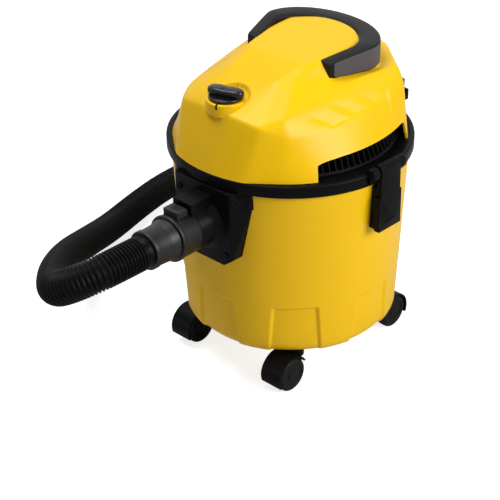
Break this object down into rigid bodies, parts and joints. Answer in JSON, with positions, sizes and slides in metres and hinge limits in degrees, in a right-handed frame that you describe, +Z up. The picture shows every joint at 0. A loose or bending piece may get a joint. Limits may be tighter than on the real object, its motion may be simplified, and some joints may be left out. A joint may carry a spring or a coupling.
{
  "type": "drum vacuum cleaner",
  "caption": "Drum vacuum cleaner on swivel casters, with a lift-off motor head held by side latches, a carry handle, a front inlet and a ribbed suction hose.",
  "frame": {"origin": "on the floor under the middle of the machine's box, the hose left out", "axes": "+Z up; -Y the front, where the hose enters; +X the right-hand latch; casters stand at z = 0"},
  "size_m": [0.5515, 0.6962, 0.403],
  "materials": {
    "yellow": "moulded, satin to gloss",
    "black": "moulded, satin",
    "hose": "blow moulded, satin",
    "grey": "soft grip",
    "wheel": "moulded, satin",
    "steel": "zinc plated",
    "seal": "soft",
    "foam": "open foam",
    "cloth": "woven",
    "card": "plain"
  },
  "bodies": {
    "tank_assembly": {"tank": "yellow", "inlet_flange": "black", "flange_screws": "steel", "inlet_stub": "black", "inlet_seal": "seal", "bag_collar": "card", "filter_bag": "cloth", "caster_sockets": "black", "latch_catch_left": "black", "latch_catch_right": "black", "hose_connector": "black", "hose_cuff": "black", "suction_hose": "hose", "hose_end_cuff": "black"},
    "head": {"head_base": "black", "rim_seal": "seal", "head_cover": "yellow", "carry_handle": "black", "handle_grips": "grey", "vent_grille_left": "black", "vent_grille_right": "black", "motor_housing": "black", "motor_can": "steel", "motor_bearings": "steel", "filter_basket": "black", "foam_filter": "foam", "switch_body": "black", "cable_hooks": "black", "cord_gland": "black", "cover_screws": "steel", "latch_pin_left": "steel", "latch_pin_right": "steel"},
    "latch_lever_right": {"latch_right": "black"},
    "latch_lever_left": {"latch_left": "black"},
    "knob": {"switch_knob": "black"},
    "float": {"float_valve": "black"},
    "rotor": {"motor_shaft": "steel", "fan_impeller": "black"},
    "hose_tab": {"hose_release_tab": "black"},
    "caster_front_left": {"caster_fork_front_left": "black", "caster_stem_front_left": "steel"},
    "wheels_front_left": {"caster_wheels_front_left": "wheel", "caster_axle_front_left": "steel"},
    "caster_front_right": {"caster_fork_front_right": "black", "caster_stem_front_right": "steel"},
    "wheels_front_right": {"caster_wheels_front_right": "wheel", "caster_axle_front_right": "steel"},
    "caster_rear_left": {"caster_fork_rear_left": "black", "caster_stem_rear_left": "steel"},
    "wheels_rear_left": {"caster_wheels_rear_left": "wheel", "caster_axle_rear_left": "steel"},
    "caster_rear_right": {"caster_fork_rear_right": "black", "caster_stem_rear_right": "steel"},
    "wheels_rear_right": {"caster_wheels_rear_right": "wheel", "caster_axle_rear_right": "steel"}
  },
  "joints": [
    {"name": "head_lift", "type": "slide", "parent": "tank_assembly", "child": "head", "axis": [0, 0, 1], "range_m": [0, 0.25]},
    {"name": "latch_right_hinge", "type": "hinge", "parent": "head", "child": "latch_lever_right", "pos_m": [0.1505, 0.016, 0.2915], "axis": [0, -1, 0], "range_deg": [0, 95]},
    {"name": "latch_left_hinge", "type": "hinge", "parent": "head", "child": "latch_lever_left", "pos_m": [-0.1505, 0.016, 0.2915], "axis": [0, 1, 0], "range_deg": [0, 95]},
    {"name": "switch_turn", "type": "hinge", "parent": "head", "child": "knob", "pos_m": [0, -0.092, 0.367], "axis": [0, 0, 1], "range_deg": [0, 90]},
    {"name": "float_rise", "type": "slide", "parent": "head", "child": "float", "axis": [0, 0, 1], "range_m": [0, 0.015]},
    {"name": "rotor_spin", "type": "hinge", "parent": "head", "child": "rotor", "pos_m": [0, 0.016, 0.3], "axis": [0, 0, 1], "continuous": true},
    {"name": "tab_press", "type": "hinge", "parent": "tank_assembly", "child": "hose_tab", "pos_m": [0, -0.1825, 0.2466], "axis": [-1, 0, 0], "range_deg": [0, 8], "stiffness_Nm_per_rad": 0.05, "springref_deg": -5.73},
    {"name": "swivel_front_left", "type": "hinge", "parent": "tank_assembly", "child": "caster_front_left", "pos_m": [-0.078, -0.06, 0.05], "axis": [0, 0, 1], "continuous": true},
    {"name": "roll_front_left", "type": "hinge", "parent": "caster_front_left", "child": "wheels_front_left", "pos_m": [-0.078, -0.08, 0.0215], "axis": [1, 0, 0], "continuous": true},
    {"name": "swivel_front_right", "type": "hinge", "parent": "tank_assembly", "child": "caster_front_right", "pos_m": [0.078, -0.06, 0.05], "axis": [0, 0, 1], "continuous": true},
    {"name": "roll_front_right", "type": "hinge", "parent": "caster_front_right", "child": "wheels_front_right", "pos_m": [0.078, -0.08, 0.0215], "axis": [1, 0, 0], "continuous": true},
    {"name": "swivel_rear_left", "type": "hinge", "parent": "tank_assembly", "child": "caster_rear_left", "pos_m": [-0.078, 0.092, 0.05], "axis": [0, 0, 1], "continuous": true},
    {"name": "roll_rear_left", "type": "hinge", "parent": "caster_rear_left", "child": "wheels_rear_left", "pos_m": [-0.078, 0.112, 0.0215], "axis": [1, 0, 0], "continuous": true},
    {"name": "swivel_rear_right", "type": "hinge", "parent": "tank_assembly", "child": "caster_rear_right", "pos_m": [0.078, 0.092, 0.05], "axis": [0, 0, 1], "continuous": true},
    {"name": "roll_rear_right", "type": "hinge", "parent": "caster_rear_right", "child": "wheels_rear_right", "pos_m": [0.078, 0.112, 0.0215], "axis": [1, 0, 0], "continuous": true}
  ]
}
